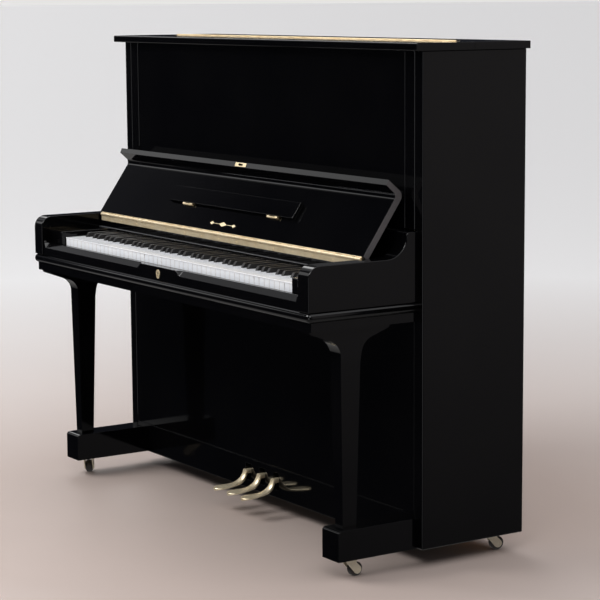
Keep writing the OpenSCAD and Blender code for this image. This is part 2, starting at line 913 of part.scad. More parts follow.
// Base plate with a pair of cheeks and a pin for each pedal
module pedal_block() {
    base_z = caster_h + 20;
    base_t = 5;
    cheek_x = 12;
    pin_x = 15;
    end_x = pedal_pitch + 24;
    color(STEEL) {
        block(-end_x, end_x, 25, 70, base_z, base_z + base_t);
        for (i = [-1:1]) translate([i * pedal_pitch, 0, 0]) {
            both_sides() block(cheek_x - 2, cheek_x + 2, 34, 56, base_z + base_t - 1, pedal_axis_z + 10);
            rod_x(-pin_x, pin_x, pedal_axis_y, pedal_axis_z, pedal_pin_r);
        }
    }
}

module trap_rod(x) {
    foot_z = 102.6;
    color(WOOD) translate([x, rod_y, foot_z]) cylinder(r = 7, h = 760);
}

// ---- casters -------------------------------------------------------------

// Fork about its own stem, trailing towards +X
module caster_fork() {
    axle_z = wheel_d / 2;
    axle_l = fork_gap + fork_plate * 2 + 2;
    plate_r = 17;
    cheek_r = 11;
    plate_z = caster_h - 4;
    color(STEEL) {
        translate([0, 0, plate_z]) cylinder(r = plate_r, h = 3.9);
        translate([0, 0, plate_z]) cylinder(r = caster_stem_r, h = caster_stem_h);
        for (s = [-1, 1]) translate([0, s * (fork_gap + fork_plate) / 2, 0]) {
            along_y(-fork_plate / 2, fork_plate / 2) polygon(concat(
                [[-14, caster_h - 3], [-12, caster_h - 12]],
                arc([caster_trail, axle_z], cheek_r, 225, 405, 10),
                [[16, caster_h - 14], [16, caster_h - 3]]
            ));
        }
        translate([caster_trail, axle_l / 2, axle_z]) rotate([90, 0, 0]) cylinder(r = axle_r, h = axle_l);
    }
}

module caster_wheel() {
    r = wheel_d / 2;
    w = wheel_w / 2;
    chamfer = [4, 3];
    color(TREAD) translate([caster_trail, 0, r]) rotate([90, 0, 0]) difference() {
        rotate_extrude() polygon([
            [0, -w], [r - chamfer.x, -w], [r, -w + chamfer.y],
            [r, w - chamfer.y], [r - chamfer.x, w], [0, w]
        ]);
        cylinder(r = axle_r + run, h = wheel_w + 2, center = true);
    }
}

// Swivel place: side, depth and the direction in which the wheel trails
module at_caster(side, y, angle) {
    translate([side * caster_x, y, 0]) rotate([0, 0, angle]) children();
}

sides();
arms();
key_bed();
key_slip();
key_blocks();
name_board();
legs();
toes();
bottom_board();
lower_panel();
upper_panel();
pilasters();
rest_buffers();
lid_rear();
lid_front();
lid_hinge_fixed_leaf();
lid_hinge_moving_leaf();
fallboard();
fallboard_hinge_fixed_leaf();
fallboard_hinge_moving_leaf();
strike_plate();
keyhole_plate();
music_shelf();
music_shelf_hinges();
back_frame();
soundboard();
iron_plate();
pin_block();
tuning_pins();
strings();
key_frame();
white_keys();
black_keys();
one_white(first_moving);  // key_c4
one_black(first_moving);  // key_c_sharp_4
one_white(first_moving + 1);  // key_d4
one_black(first_moving + 1);  // key_d_sharp_4
one_white(last_moving);  // key_e4
action_frame();
wippens();
hammers();
hammer_rest_rail();
dampers();
muffler_rail();
pedal_block();
pedal(-pedal_pitch);  // pedal_left
pedal(0);  // pedal_middle
pedal(pedal_pitch);  // pedal_right
trap_rod(-pedal_pitch);  // trap_rod_left
trap_rod(0);  // trap_rod_middle
trap_rod(pedal_pitch);  // trap_rod_right
at_caster(-1, caster_front_y, 147) caster_fork();  // caster_fork_front_left
at_caster(1, caster_front_y, 90) caster_fork();  // caster_fork_front_right
at_caster(-1, caster_rear_y, 60) caster_fork();  // caster_fork_rear_left
at_caster(1, caster_rear_y, 75) caster_fork();  // caster_fork_rear_right
at_caster(-1, caster_front_y, 147) caster_wheel();  // caster_wheel_front_left
at_caster(1, caster_front_y, 90) caster_wheel();  // caster_wheel_front_right
at_caster(-1, caster_rear_y, 60) caster_wheel();  // caster_wheel_rear_left
at_caster(1, caster_rear_y, 75) caster_wheel();  // caster_wheel_rear_right
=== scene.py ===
"""Looks of a polished black upright piano with its fallboard open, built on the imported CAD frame.

Metres, in the same frame as the CAD: +X to the player's right, +Y to the back, +Z up.
"""
import json
import math
import random

import bmesh
import bpy
from mathutils import Matrix, Vector


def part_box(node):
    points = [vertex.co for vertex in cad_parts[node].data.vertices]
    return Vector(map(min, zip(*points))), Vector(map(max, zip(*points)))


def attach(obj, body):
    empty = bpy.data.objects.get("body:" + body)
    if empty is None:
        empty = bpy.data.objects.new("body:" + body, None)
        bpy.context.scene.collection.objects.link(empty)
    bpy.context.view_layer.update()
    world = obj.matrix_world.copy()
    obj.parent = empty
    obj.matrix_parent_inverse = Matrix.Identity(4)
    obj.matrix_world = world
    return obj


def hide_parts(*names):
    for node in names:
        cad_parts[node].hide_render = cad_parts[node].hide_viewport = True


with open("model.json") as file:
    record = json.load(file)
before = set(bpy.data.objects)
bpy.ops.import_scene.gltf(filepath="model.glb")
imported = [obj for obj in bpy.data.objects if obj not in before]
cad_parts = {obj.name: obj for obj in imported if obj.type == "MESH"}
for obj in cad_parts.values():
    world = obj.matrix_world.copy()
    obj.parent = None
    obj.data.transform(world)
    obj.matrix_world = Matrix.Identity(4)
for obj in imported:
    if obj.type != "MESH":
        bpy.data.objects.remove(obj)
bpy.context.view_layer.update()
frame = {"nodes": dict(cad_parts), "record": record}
BODIES = frame["record"]["behaviour"]["bodies"]
BODY_OF = {node: body for body, nodes in BODIES.items() for node in nodes}

MM = 0.001
FULL_TURN = 2 * math.pi
WELD = 0.01 * MM               # vertices closer than this are one
FLAT = math.radians(0.8)       # neighbouring faces within this angle are one flat face
SHARP = math.radians(35)       # edges over this angle stay sharp, or are rounded
MIX_A, MIX_B, MIX_RESULT = 6, 7, 2    # colour sockets of a Mix node
NOISE_LOW, NOISE_HIGH = 0.25, 0.75    # nearly all of a noise texture lies between these


# ---- finishes ------------------------------------------------------------

class Finish:
    """A node material, built up in steps around one Principled shader."""

    def __init__(self, name, colour, roughness, **values):
        self.material = bpy.data.materials.new(name)
        self.material.use_nodes = True
        self.material.diffuse_color = (*colour, 1)
        self.tree = self.material.node_tree
        self.shader = self.tree.nodes["Principled BSDF"]
        self.shader.inputs["Base Color"].default_value = (*colour, 1)
        self.shader.inputs["Roughness"].default_value = roughness
        for key, value in values.items():
            self.shader.inputs[key.replace("_", " ")].default_value = value

    def node(self, kind, inputs=None, **settings):
        made = self.tree.nodes.new(kind)
        for key, value in settings.items():
            setattr(made, key, value)
        for key, value in (inputs or {}).items():
            if isinstance(value, bpy.types.NodeSocket):
                self.tree.links.new(value, made.inputs[key])
            else:
                made.inputs[key].default_value = value
        return made

    def place(self, stretch=(1, 1, 1), turn=(0, 0, 0)):
        """Object coordinates, scaled by stretch after a turn in degrees."""
        coords = self.node("ShaderNodeTexCoord").outputs["Object"]
        angles = [math.radians(a) for a in turn]
        turned = self.node("ShaderNodeMapping", {"Vector": coords, "Rotation": angles})
        scaled = self.node("ShaderNodeMapping", {"Vector": turned.outputs[0], "Scale": stretch})
        return scaled.outputs[0]

    def noise(self, scale, detail=2.0, rough=0.5, stretch=(1, 1, 1), turn=(0, 0, 0), warp=0.0):
        made = self.node("ShaderNodeTexNoise", {
            "Vector": self.place(stretch, turn), "Scale": scale,
            "Detail": detail, "Roughness": rough, "Distortion": warp})
        return made.outputs["Fac"]

    def cells(self, scale, stretch=(1, 1, 1)):
        """A random value for each cell of a grid."""
        grid = self.place([s * scale for s in stretch])
        corner = self.node("ShaderNodeVectorMath", {0: grid}, operation="FLOOR").outputs[0]
        made = self.node("ShaderNodeTexWhiteNoise", {"Vector": corner})
        return made.outputs["Value"]

    def fit(self, value, low, high, out_low=0.0, out_high=1.0):
        made = self.node("ShaderNodeMapRange", {"Value": value, "From Min": low, "From Max": high,
                                                "To Min": out_low, "To Max": out_high})
        return made.outputs["Result"]

    def maths(self, operation, a, b):
        return self.node("ShaderNodeMath", {0: a, 1: b}, operation=operation).outputs[0]

    def ramp(self, value, *stops):
        made = self.node("ShaderNodeValToRGB", {"Fac": value})
        band = made.color_ramp
        while len(band.elements) < len(stops):
            band.elements.new(1.0)
        for element, (at, colour) in zip(band.elements, stops):
            element.position = at
            element.color = (*colour, 1)
        return made.outputs["Color"]

    def mix(self, amount, a, b):
        made = self.node("ShaderNodeMix", {"Factor": amount}, data_type="RGBA")
        for socket, value in ((made.inputs[MIX_A], a), (made.inputs[MIX_B], b)):
            if isinstance(value, bpy.types.NodeSocket):
                self.tree.links.new(value, socket)
            else:
                socket.default_value = (*value, 1)
        return made.outputs[MIX_RESULT]

    def colour(self, socket):
        self.tree.links.new(socket, self.shader.inputs["Base Color"])
        return self

    def roughness(self, value, low, high):
        gloss = self.fit(value, NOISE_LOW, NOISE_HIGH, low, high)
        self.tree.links.new(gloss, self.shader.inputs["Roughness"])
        return self

    def bump(self, height, depth):
        """Adds relief of the given depth, in metres."""
        made = self.node("ShaderNodeBump", {"Height": height, "Distance": depth, "Strength": 1.0})
        normal = self.shader.inputs["Normal"]
        if normal.is_linked:
            self.tree.links.new(normal.links[0].from_socket, made.inputs["Normal"])
        self.tree.links.new(made.outputs["Normal"], normal)
        return self


def ebony_polish():
    """Black polyester, buffed: faint waves, hairline swirls and a little dust."""
    made = Finish("ebony_polish", (0.0012, 0.0012, 0.0015), 0.06, Specular_IOR_Level=0.32)
    dust = made.fit(made.noise(900, 1.0), 0.74, 0.8)
    cloud = made.noise(5, 3.0)
    black = made.mix(made.fit(cloud, 0.3, 0.7), (0.0008, 0.0008, 0.0011), (0.0017, 0.0016, 0.0018))
    thin_dust = made.maths("MULTIPLY", dust, 0.12)
    made.colour(made.mix(thin_dust, black, (0.05, 0.05, 0.052)))
    swirls = made.noise(60, 4.0, 0.7, stretch=(1, 1, 6), warp=1.5)
    made.roughness(swirls, 0.045, 0.10)
    made.bump(made.noise(7, 1.0), 0.10 * MM).bump(made.noise(260, 1.0), 0.003 * MM)
    return made.material


def ebony_satin_painted_sheen():
    """The black lacquer on sawn ends, rubbed and not buffed, with its colour raised from black to grey as a
    painted sheen.
    """
    made = Finish("ebony_satin_painted_sheen", (0.08, 0.074, 0.075), 0.42, Specular_IOR_Level=0.5)
    grain = made.noise(180, 3.0, 0.6, stretch=(1, 0.25, 1))
    # painted sheen: these greys stand in for the light the end faces catch, not the lacquer's own black
    made.colour(made.mix(grain, (0.062, 0.057, 0.058), (0.095, 0.088, 0.090)))
    made.roughness(grain, 0.34, 0.5)
    made.bump(grain, 0.02 * MM)
    return made.material


def brass(name, light, dark, gloss, brushed=(1, 60, 60)):
    """Brass or a brass-coloured plating, tarnished in patches and brushed along one axis."""
    made = Finish(name, light, gloss, Metallic=0.7)
    tarnish = made.noise(22, 4.0, 0.6)
    lines = made.noise(40, 2.0, 0.5, stretch=brushed)
    made.colour(made.ramp(tarnish, (0.3, dark), (0.6, light)))
    made.roughness(lines, gloss * 0.75, gloss * 1.5)
    made.bump(lines, 0.004 * MM)
    return made.material


def wood(name, pale, dark, turn=(0, 0, 0), gloss=0.45, ring=1.0):
    """Planed wood with its grain along X, before the turn."""
    made = Finish(name, pale, gloss)
    rings = made.noise(9 * ring, 3.0, 0.6, stretch=(0.12, 1, 1), turn=turn, warp=0.6)
    phase = made.maths("MULTIPLY", rings, 60.0)
    bands = made.node("ShaderNodeMath", {0: phase}, operation="SINE").outputs[0]
    pores = made.noise(420, 2.0, 0.6, stretch=(0.03, 1, 1), turn=turn)
    tone = made.noise(3, 2.0)
    base = made.mix(made.fit(bands, -1, 1, 0.0, 0.75), pale, dark)
    worn = made.mix(made.fit(tone, 0.3, 0.7, 0.0, 0.35), base, [c * 0.8 for c in pale])
    made.colour(made.mix(made.fit(pores, 0.58, 0.72, 0.0, 0.5), worn, [c * 0.5 for c in dark]))
    made.roughness(pores, gloss * 0.85, gloss * 1.25)
    made.bump(pores, 0.05 * MM).bump(bands, 0.02 * MM)
    return made.material


def white_key():
    """Acrylic key tops, each a little different, with faint wear."""
    made = Finish("white_key_resin", (0.92, 0.93, 0.96), 0.16, Coat_Weight=0.35, Coat_Roughness=0.05)
    key = made.cells(1 / KEY_PITCH, (1, 0, 0))
    tone = made.mix(key, (0.90, 0.92, 0.96), (0.94, 0.95, 0.97))
    smudge = made.fit(made.noise(35, 3.0), 0.55, 0.8, 0.0, 0.25)
    made.colour(made.mix(smudge, tone, (0.84, 0.84, 0.86)))
    made.roughness(made.noise(90, 3.0, 0.6, stretch=(1, 0.2, 1)), 0.11, 0.24)
    made.bump(made.noise(14, 1.0), 0.03 * MM)
    return made.material


def black_key():
    """Satin black sharps with a fine lengthwise grain."""
    made = Finish("black_key_resin", (0.012, 0.011, 0.011), 0.42, Specular_IOR_Level=0.3)
    grain = made.noise(500, 2.0, 0.6, stretch=(1, 0.04, 1))
    made.colour(made.mix(grain, (0.008, 0.008, 0.008), (0.017, 0.015, 0.015)))
    made.roughness(grain, 0.36, 0.5)
    made.bump(grain, 0.015 * MM)
    return made.material


def felt(name, pale, dark):
    """Pressed wool, with a fine nap over softer lumps."""
    made = Finish(name, pale, 0.95, Specular_IOR_Level=0.2)
    fluff = made.noise(700, 4.0, 0.7)
    made.colour(made.ramp(fluff, (0.35, dark), (0.6, pale)))
    made.bump(fluff, 0.25 * MM).bump(made.noise(90, 2.0), 0.2 * MM)
    return made.material


def cast_iron():
    """Bronze-gold lacquer over a sand casting."""
    made = Finish("gold_cast_iron", (0.55, 0.38, 0.14), 0.38, Metallic=0.85)
    sand = made.noise(420, 3.0, 0.6)
    made.colour(made.ramp(made.noise(8, 3.0), (0.3, (0.44, 0.30, 0.11)), (0.7, (0.62, 0.44, 0.18))))
    made.roughness(sand, 0.3, 0.5)
    made.bump(sand, 0.12 * MM)
    return made.material


def steel(name, colour, gloss):
    """Drawn or rolled metal, faintly stained."""
    made = Finish(name, colour, gloss, Metallic=1.0)
    stain = made.noise(60, 4.0, 0.65)
    stained = [c * 0.72 for c in colour]
    made.colour(made.ramp(stain, (0.3, stained), (0.65, colour)))
    made.roughness(stain, gloss * 0.8, gloss * 1.4)
    made.bump(made.noise(500, 2.0, stretch=(1, 0.1, 0.1)), 0.006 * MM)
    return made.material


def plastic(name, pale, dark, gloss, depth=0.02):
    """Moulded plastic or rubber. depth is that of its grain, in millimetres."""
    made = Finish(name, pale, gloss)
    grain = made.noise(300, 3.0, 0.6)
    made.colour(made.ramp(made.noise(70, 4.0, 0.6), (0.3, dark), (0.65, pale)))
    made.roughness(grain, gloss * 0.8, gloss * 1.3)
    made.bump(grain, depth * MM)
    return made.material


def floor_finish(near, far, fade):
    """A pale floor: a warm tone near the piano that fades to a lighter, cooler one."""
    made = Finish("floor", near, 0.5, Specular_IOR_Level=0.2)
    coords = made.node("ShaderNodeTexCoord").outputs["Object"]
    away = made.node("ShaderNodeVectorMath", {0: coords}, operation="LENGTH").outputs["Value"]
    distance = made.fit(away, *fade)
    paler = [c * 1.05 for c in near]
    haze = made.mix(made.fit(made.noise(1.1, 4.0, 0.6), 0.3, 0.7), near, paler)
    made.colour(made.mix(distance, haze, far))
    return made.material


# ---- meshes --------------------------------------------------------------

def add_piece(name, bm, finishes, body):
    """Makes a smooth-shaded piece from bm that rides on a body."""
    bmesh.ops.recalc_face_normals(bm, faces=bm.faces)
    mesh = bpy.data.meshes.new(name)
    for face in bm.faces:
        face.smooth = True
    bm.to_mesh(mesh)
    bm.free()
    for finish in finishes:
        mesh.materials.append(finish)
    mesh.set_sharp_from_angle(angle=SHARP)
    piece = bpy.data.objects.new(name, mesh)
    bpy.context.scene.collection.objects.link(piece)
    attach(piece, body)
    return piece


def round_edges(piece, width, segments=3, clamp=True):
    """Rounds the sharp edges, and lets the flat faces keep their own normals."""
    for edge in piece.data.edges:
        edge.use_edge_sharp = False
    bevel = piece.modifiers.new("rounding", "BEVEL")
    bevel.width = width
    bevel.segments = segments
    bevel.limit_method = "ANGLE"
    bevel.angle_limit = SHARP
    bevel.use_clamp_overlap = clamp
    normals = piece.modifiers.new("normals", "WEIGHTED_NORMAL")
    normals.keep_sharp = True


def remake(node, finishes, rounding=0.0, levels=(), pick=None, clamp=True, segments=3):
    """A finer copy of a CAD node, which it replaces.

    levels are heights at which faces are split, and pick gives the number of a face's finish.
    """
    bm = bmesh.new()
    bm.from_mesh(frame["nodes"][node].data)
    bmesh.ops.remove_doubles(bm, verts=bm.verts, dist=WELD)
    bmesh.ops.dissolve_limit(bm, angle_limit=FLAT, verts=bm.verts, edges=bm.edges)
    for level in levels:
        everything = [*bm.verts, *bm.edges, *bm.faces]
        bmesh.ops.bisect_plane(bm, geom=everything, plane_co=(0, 0, level), plane_no=(0, 0, 1))
    bm.normal_update()
    if pick:
        for face in bm.faces:
            face.material_index = pick(face)
    piece = add_piece(node + "_finished", bm, finishes, BODY_OF[node])
    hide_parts(node)
    if rounding:
        round_edges(piece, rounding, segments, clamp)


def add_box(bm, low, high, finish=0):
    """A box between two corners."""
    size = Vector(high) - Vector(low)
    middle = (Vector(high) + Vector(low)) / 2
    place = Matrix.Translation(middle) @ Matrix.Diagonal((*size, 1))
    made = bmesh.ops.create_cube(bm, size=1.0, matrix=place)
    for face in {f for v in made["verts"] for f in v.link_faces}:
        face.material_index = finish


def add_loft(bm, rings):
    """Skins a row of rings, each with the same number of points, and closes both ends."""
    rows = [[bm.verts.new(p) for p in ring] for ring in rings]
    n = len(rows[0])
    for near, far in zip(rows, rows[1:]):
        for i in range(n):
            bm.faces.new((near[i], near[(i + 1) % n], far[(i + 1) % n], far[i]))
    for row in (rows[0], rows[-1]):
        bm.faces.new(row)


def circle(radius, sides):
    """Points of a circle in the XY plane."""
    turn = [FULL_TURN * i / sides for i in range(sides)]
    return [(radius * math.cos(a), radius * math.sin(a)) for a in turn]


def add_lathe(bm, profile, place, sides):
    """Turns a profile of (radius, height) points about the Z axis of place."""
    add_loft(bm, [[place @ Vector((x, y, height)) for x, y in circle(radius, sides)]
                  for radius, height in profile])


def add_screw(bm, place, radius, turn):
    """A slotted countersunk head on the plane of place, made of a disc with two half-discs on it."""
    rim = 0.18 * radius
    half_slot = 0.16 * radius
    disc = 0.4 * rim
    crown = ((1, disc), (0.97, 1.3 * rim), (0.8, 1.8 * rim))
    spot = place @ Matrix.Rotation(turn, 4, "Z")
    add_lathe(bm, [(radius, -rim), (radius, disc)], spot, 20)
    reach = math.acos(half_slot / radius)
    steps = 8
    arc = [reach - 2 * reach * i / steps for i in range(steps + 1)]
    for side in (1, -1):
        rings = []
        for shrink, height in crown:
            r = radius * shrink
            half_disc = [(max(r * math.cos(a), half_slot), r * math.sin(a)) for a in arc]
            rings.append([spot @ Vector((side * x, y, height)) for x, y in half_disc])
        add_loft(bm, rings)


def facing(at, out):
    """A frame at a point, with its Z axis out of the surface and its X axis as near world X as it can be."""
    z = Vector(out).normalized()
    along = Vector((1, 0, 0))
    x = (along - z * along.dot(z)).normalized()
    return Matrix.Translation(at) @ Matrix((x, z.cross(x), z)).transposed().to_4x4()


def smooth_step(t):
    """Rises from 0 to 1 with level ends."""
    t = min(max(t, 0.0), 1.0)
    return t * t * (3 - 2 * t)


def bezier(a, b, c, d, t):
    """The point at t on a cubic curve from a to d."""
    s = 1 - t
    return s ** 3 * a + 3 * s * s * t * b + 3 * s * t * t * c + t ** 3 * d


# ---- sizes taken from the frame ------------------------------------------

KEY_PITCH = 23.5 * MM
WHITE_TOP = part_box("white_keys")[1].z
RESIN = 2.6 * MM               # thickness of a white key's resin top
FALL_AXIS = Vector((0, -0.128, 0.786))
FALL_TILT = math.radians(55)
FALL_FRAME = Matrix.Translation(FALL_AXIS) @ Matrix.Rotation(FALL_TILT, 4, "X")
FALL_FACE = 4 * MM             # the fallboard's inner face, from its hinge axis
LID_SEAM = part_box("lid_front")[1].y + 0.5 * MM
LID_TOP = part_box("lid_rear")[1].z


# ---- case ----------------------------------------------------------------

EBONY = ebony_polish()
# satin black for the fallboard's ends, its grey a painted sheen
SATIN_PAINTED_SHEEN = ebony_satin_painted_sheen()
BRASS = brass("brass", (0.94, 0.79, 0.53), (0.86, 0.69, 0.42), 0.36)
HINGE_BRASS = brass("hinge_brass", (0.90, 0.76, 0.52), (0.80, 0.64, 0.40), 0.38)
PEDAL_BRASS = brass("pedal_brass", (0.95, 0.82, 0.58), (0.85, 0.70, 0.45), 0.3, (60, 3, 60))
STRIP = plastic("name_board_strip", (0.10, 0.10, 0.105), (0.07, 0.07, 0.075), 0.35)
RUBBER = plastic("buffer_rubber", (0.03, 0.03, 0.03), (0.015, 0.015, 0.015), 0.7)
BEECH_UP = wood("beech_upright", (0.66, 0.47, 0.28), (0.50, 0.33, 0.18), (0, 90, 0))
BEECH_ACROSS = wood("beech_across", (0.64, 0.45, 0.27), (0.48, 0.32, 0.17))
SPRUCE_BOARD = wood("spruce_board", (0.74, 0.55, 0.32), (0.60, 0.42, 0.22), (0, -50, 0), 0.4, 1.6)
SPRUCE_RIBS = wood("spruce_ribs", (0.78, 0.60, 0.37), (0.66, 0.48, 0.27), (0, 50, 0), 0.45, 1.4)
# the keys' wooden sides: real spruce, darkened and greyed as painted shade in the gaps between the keys
SPRUCE_KEYS_PAINTED_SHADE = wood("spruce_lengthwise_painted_shade", (0.50, 0.42, 0.31), (0.40, 0.32, 0.22), (0, 0, 90))
MAPLE = wood("maple", (0.76, 0.60, 0.40), (0.66, 0.49, 0.30), (0, 90, 0))
WHITE_FELT = felt("wool_felt", (0.80, 0.78, 0.71), (0.62, 0.60, 0.54))
IRON = cast_iron()
STEEL = steel("steel", (0.62, 0.62, 0.64), 0.28)
ACTION_METAL = steel("action_metal", (0.60, 0.60, 0.61), 0.4)
CASTER_METAL = brass("caster_metal", (0.88, 0.80, 0.64), (0.74, 0.65, 0.48), 0.35, (40, 40, 3))
CASTER_TREAD = plastic("caster_wheel", (0.030, 0.024, 0.020), (0.016, 0.013, 0.012), 0.5, 0.05)
WHITE_RESIN = white_key()
BLACK_RESIN = black_key()


def case_boards():
    rounding = {
        "sides": 3.0, "arms": 2.0, "key_blocks": 2.5, "name_board": 1.0, "legs": 1.6, "toes": 2.0,
        "lower_panel": 0.8, "upper_panel": 2.0, "pilasters": 3.0, "lid_rear": 1.2, "lid_front": 1.2,
        "bottom_board": 0.6,
    }
    for node, width in rounding.items():
        remake(node, [EBONY], width * MM)
    remake("key_bed", [EBONY])


def key_slip():
    """The rail in front of the keys.

    Its finger bevel swells out of the plain edge in an ogee at each end. edge is what stays of it
    elsewhere, as a part of its full size.
    """
    low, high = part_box("key_slip")
    bevel_y, bevel_z, edge = 13 * MM, 14 * MM, 0.07
    middle, swell, far_end, run_out = 92 * MM, 24 * MM, 678 * MM, 7 * MM
    half = []
    steps = 10
    for start, stop in ((middle, middle + swell), (far_end - run_out, far_end)):
        half += [start + (stop - start) * i / steps for i in range(steps + 1)]
    half.append(high.x)
    rings = []
    for x in [-h for h in reversed(half)] + half:
        rise = smooth_step((abs(x) - middle) / swell) * smooth_step((far_end - abs(x)) / run_out)
        t = edge + (1 - edge) * rise
        section = ((low.y, low.z), (low.y, high.z - bevel_z * t), (low.y + bevel_y * t, high.z),
                   (high.y, high.z), (high.y, low.z))
        rings.append([Vector((x, y, z)) for y, z in section])
    bm = bmesh.new()
    add_loft(bm, rings)
    piece = add_piece("key_slip_finished", bm, [EBONY], "case")
    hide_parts("key_slip")
    round_edges(piece, 0.45 * MM, 2, clamp=False)


def name_strip():
    """The dark grey strip along the lower front edge of the name board, just over the keys."""
    low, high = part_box("name_board")
    lift, top, deep, inset = 0.3 * MM, 1.6 * MM, 6.5 * MM, 1 * MM
    bm = bmesh.new()
    add_box(bm, (low.x + inset, low.y - deep, low.z + lift), (high.x - inset, low.y + inset, low.z + top))
    piece = add_piece("name_board_strip", bm, [STRIP], "case")
    round_edges(piece, 0.5 * MM)


def buffers():
    remake("rest_buffers", [RUBBER], 0.8 * MM)


# ---- fallboard and music shelf -------------------------------------------

def fallboard():
    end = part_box("fallboard")[1].x - 0.2 * MM

    def end_or_face(face):
        return 1 if abs(face.calc_center_median().x) > end else 0

    # the fallboard's end faces take the satin finish, whose grey is painted sheen
    remake("fallboard", [EBONY, SATIN_PAINTED_SHEEN], 1.0 * MM, pick=end_or_face)


def in_fallboard(x, u, v):
    """A point u up the fallboard from its hinge axis and v out of it."""
    return FALL_FRAME @ Vector((x, u, v))


def music_shelf():
    shelf_start = 73.4 * MM
    back = FALL_FRAME.inverted()

    def board_or_knuckle(face):
        return 1 if (back @ face.calc_center_median()).y < shelf_start else 0

    remake("music_shelf", [EBONY, BRASS], 0.9 * MM,
           pick=board_or_knuckle, clamp=False)
    remake("music_shelf_hinges", [BRASS])


def inlay():
    """A plain ornament let into the fallboard: three lozenges joined by a line."""
    proud, sunk, u, line = 0.25 * MM, 0.5 * MM, 29 * MM, 0.5 * MM
    outlines = []
    for centre, half_w, half_h in ((0, 20, 7), (-56, 11, 5), (56, 11, 5)):
        x, w, h = centre * MM, half_w * MM, half_h * MM
        outlines.append([(x - w, u), (x, u - h), (x + w, u), (x, u + h)])
    for x0, x1 in ((-45 * MM, -20 * MM), (20 * MM, 45 * MM)):
        outlines.append([(x0, u - line), (x1, u - line), (x1, u + line), (x0, u + line)])
    bm = bmesh.new()
    for outline in outlines:
        add_loft(bm, [[in_fallboard(a, b, FALL_FACE + v) for a, b in outline] for v in (-sunk, proud)])
    add_piece("fallboard_inlay", bm, [BRASS], "fallboard")


def hinges_and_plates():
    for hinge in ("fallboard_hinge", "lid_hinge"):
        for leaf in ("fixed_leaf", "moving_leaf"):
            remake(f"{hinge}_{leaf}", [HINGE_BRASS])
    remake("strike_plate", [BRASS], 0.25 * MM)
    remake("keyhole_plate", [BRASS], 0.4 * MM)


def hinge_screws():
    """Rows of screws: both leaves of the lid's hinge, and the fixed leaf of the fallboard's."""
    rng = random.Random(7)
    screw_r = 2.2 * MM

    def screw_row(name, body, start, pitch, count, out):
        bm = bmesh.new()
        for i in range(count):
            at = start + Vector((i * pitch, 0, 0))
            add_screw(bm, facing(at, out), screw_r, rng.uniform(0, FULL_TURN))
        add_piece(name, bm, [BRASS], body)

    half, pitch, from_seam = 660 * MM, 60 * MM, 8 * MM
    count = round(2 * half / pitch) + 1
    for name, body, side in (("lid_hinge_screws_front", "lid", -1), ("lid_hinge_screws_rear", "case", 1)):
        start = Vector((-half, LID_SEAM + side * from_seam, LID_TOP))
        screw_row(name, body, start, pitch, count, (0, 0, 1))
    leaf_front = FALL_AXIS.y - 0.6 * MM
    leaf_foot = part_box("fallboard_hinge_fixed_leaf")[0].z
    start = Vector((-644 * MM, leaf_front, leaf_foot + 6 * MM))
    screw_row("fallboard_hinge_screws", "case", start, 92 * MM, 15, (0, -1, 0))


# ---- keys ----------------------------------------------------------------

def keys():
    resin_foot = WHITE_TOP - RESIN
    not_the_front = -0.9           # least Y of the normal of a face that isn't a key's front

    # the sides below the resin get the spruce that is darkened as painted shade between the keys
    def resin_or_wood(face):
        return 1 if face.calc_center_median().z < resin_foot and face.normal.y > not_the_front else 0

    for node in ("white_keys", "key_c4", "key_d4", "key_e4"):
        remake(node, [WHITE_RESIN, SPRUCE_KEYS_PAINTED_SHADE], 0.55 * MM, [resin_foot], resin_or_wood,
               segments=2)

    # the sharps' sides below the resin also get the spruce darkened as painted shade
    def sharp_or_wood(face):
        return 1 if face.calc_center_median().z < resin_foot else 0

    for node in ("black_keys", "key_c_sharp_4", "key_d_sharp_4"):
        remake(node, [BLACK_RESIN, SPRUCE_KEYS_PAINTED_SHADE], 1.1 * MM, (), sharp_or_wood)
    remake("key_frame", [BEECH_ACROSS])


# ---- back ----------------------------------------------------------------

def back_frame():
    """Five posts between a bottom beam and a top beam, each its own board."""
    low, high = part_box("back_frame")
    posts, post_w, post_front, post_back = 5, 90 * MM, 250 * MM, high.y - 0.4 * MM
    beam_bottom, beam_top = 150 * MM, 1190 * MM
    pitch = (high.x - low.x - post_w) / (posts - 1)
    bm = bmesh.new()
    for i in range(posts):
        x = low.x + i * pitch
        add_box(bm, (x, post_front, beam_bottom), (x + post_w, post_back, beam_top))
    add_box(bm, (low.x, low.y, low.z), (high.x, high.y, beam_bottom), 1)
    add_box(bm, (low.x, low.y, beam_top), (high.x, high.y, high.z), 1)
    piece = add_piece("back_frame_finished", bm, [BEECH_UP, BEECH_ACROSS], "case")
    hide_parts("back_frame")
    round_edges(piece, 2.0 * MM)


def soundboard_and_plate():
    back_face = 227.2 * MM

    def board_or_rib(face):
        return 1 if face.calc_center_median().y > back_face else 0

    remake("soundboard", [SPRUCE_BOARD, SPRUCE_RIBS], pick=board_or_rib)
    remake("iron_plate", [IRON], 2.0 * MM)
    remake("pin_block", [MAPLE], 1.0 * MM)
    remake("tuning_pins", [STEEL], 0.5 * MM, segments=2)
    remake("strings", [STEEL])


# ---- action --------------------------------------------------------------

def above(height):
    """Picks the second finish for the faces above a height."""
    return lambda face: int(face.calc_center_median().z > height)


def action():
    remake("action_frame", [ACTION_METAL], 0.8 * MM)
    remake("wippens", [MAPLE], 0.5 * MM, segments=2)
    remake("hammers", [MAPLE, WHITE_FELT], pick=above(1023 * MM))
    remake("hammer_rest_rail", [BEECH_ACROSS], 1.2 * MM)
    remake("dampers", [MAPLE, WHITE_FELT], pick=above(971 * MM))
    remake("muffler_rail", [BEECH_ACROSS], 0.8 * MM)
    for name in ("left", "middle", "right"):
        remake("trap_rod_" + name, [MAPLE], 1.0 * MM)


# ---- pedals --------------------------------------------------------------

